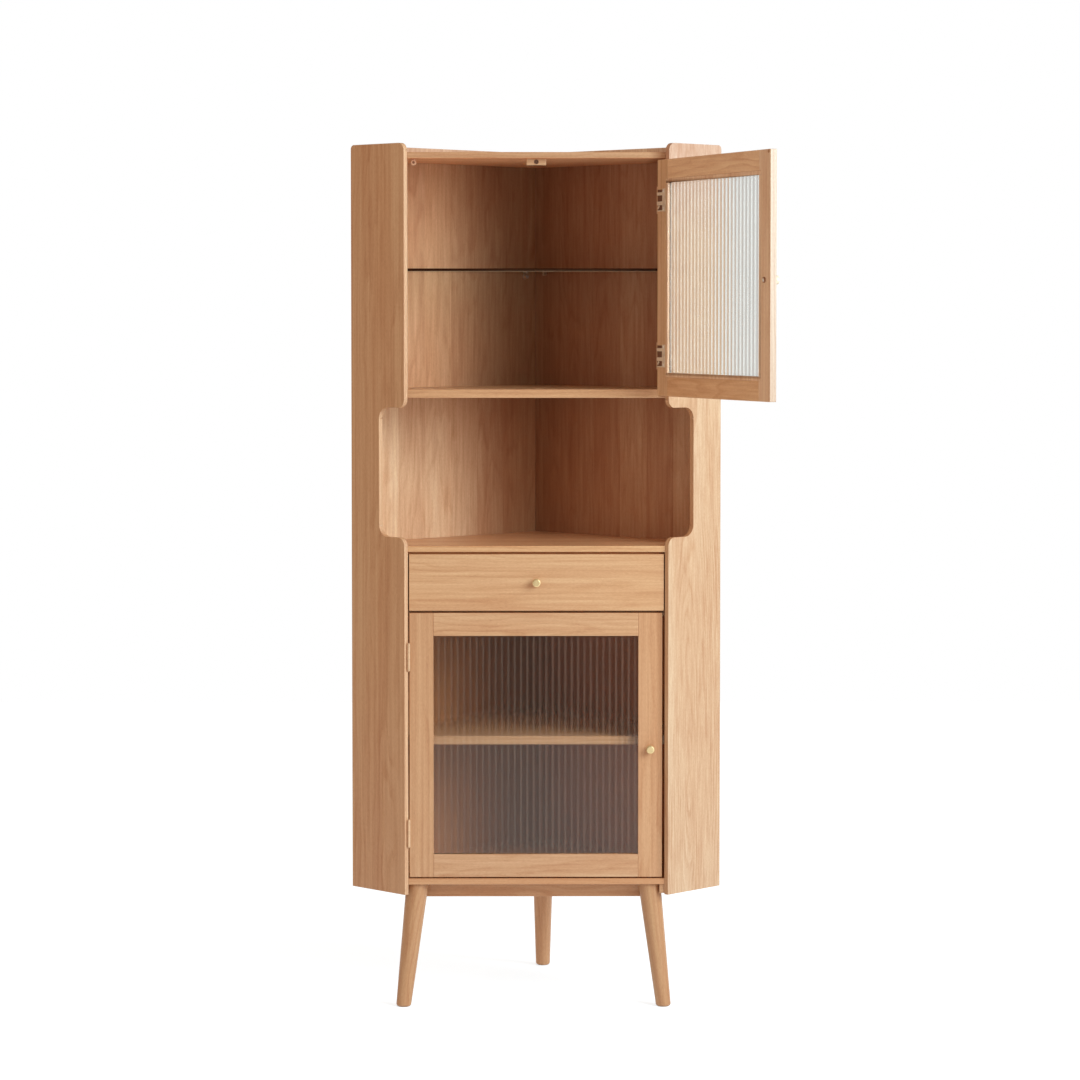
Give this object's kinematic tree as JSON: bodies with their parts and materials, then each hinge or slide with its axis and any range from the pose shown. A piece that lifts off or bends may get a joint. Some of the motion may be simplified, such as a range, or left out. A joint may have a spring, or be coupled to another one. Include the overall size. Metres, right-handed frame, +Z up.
{
  "type": "corner cabinet",
  "caption": "Wooden corner cabinet on splayed legs with ribbed-glass doors above and below, an open niche, a drawer and a glass shelf.",
  "frame": {"origin": "on the floor directly below the rear corner where the two back panels' outer faces meet", "axes": "+X to the cabinet's right seen from the front, +Y to the rear into the room's corner, +Z up; the front faces -Y"},
  "size_m": [0.8571, 0.9959, 1.8],
  "materials": {
    "wood": "oiled, satin",
    "inner_wood": "bare, satin",
    "ribbed_glass": "ribbed on one face, clear",
    "shelf_glass": "clear, polished edges that look dark",
    "brass": "brushed, lightly aged",
    "steel": "plain",
    "magnet": "dark, dull"
  },
  "bodies": {
    "cabinet": {"bottom_board": "wood", "counter_board": "wood", "door_catches": "steel", "drawer_bearer": "inner_wood", "drawer_guides": "inner_wood", "frame_hinge_leaves": "brass", "frame_hinge_screws": "brass", "front_apron": "wood", "front_left_leg": "wood", "front_right_leg": "wood", "glass_shelf": "shelf_glass", "glass_shelf_pins": "steel", "hinge_pins": "brass", "left_back_panel": "wood", "left_wing_panel": "wood", "leg_bolts": "steel", "lower_left_post": "wood", "lower_right_post": "wood", "lower_shelf": "wood", "lower_shelf_pins": "steel", "niche_ceiling_board": "wood", "rear_leg": "wood", "right_back_panel": "wood", "right_wing_panel": "wood", "slide_rails": "steel", "stop_block": "wood", "stop_magnet": "magnet", "top_board": "wood", "upper_left_post": "wood", "upper_right_post": "wood"},
    "upper_door": {"upper_door_beads": "wood", "upper_door_bottom_rail": "wood", "upper_door_free_stile": "wood", "upper_door_glass": "ribbed_glass", "upper_door_hinge_leaves": "brass", "upper_door_hinge_screws": "brass", "upper_door_hinge_stile": "wood", "upper_door_knob": "brass", "upper_door_knob_screw": "brass", "upper_door_strike": "steel", "upper_door_top_rail": "wood"},
    "lower_door": {"lower_door_beads": "wood", "lower_door_bottom_rail": "wood", "lower_door_free_stile": "wood", "lower_door_glass": "ribbed_glass", "lower_door_hinge_leaves": "brass", "lower_door_hinge_screws": "brass", "lower_door_hinge_stile": "wood", "lower_door_knob": "brass", "lower_door_knob_screw": "brass", "lower_door_strike": "steel", "lower_door_top_rail": "wood"},
    "drawer": {"drawer_back": "inner_wood", "drawer_bottom": "inner_wood", "drawer_front": "wood", "drawer_knob": "brass", "drawer_knob_screw": "brass", "drawer_left_side": "inner_wood", "drawer_right_side": "inner_wood", "drawer_runners": "steel"}
  },
  "joints": [
    {"name": "upper_door_hinge", "type": "hinge", "parent": "cabinet", "child": "upper_door", "pos_m": [0.26584, -0.49989, 1.52], "axis": [0, 0, 1], "range_deg": [-112, 38]},
    {"name": "lower_door_hinge", "type": "hinge", "parent": "cabinet", "child": "lower_door", "pos_m": [-0.26584, -0.49989, 0.55], "axis": [0, 0, -1], "range_deg": [0, 150]},
    {"name": "drawer_slide", "type": "slide", "parent": "cabinet", "child": "drawer", "axis": [0, -1, 0], "range_m": [0, 0.16]}
  ]
}
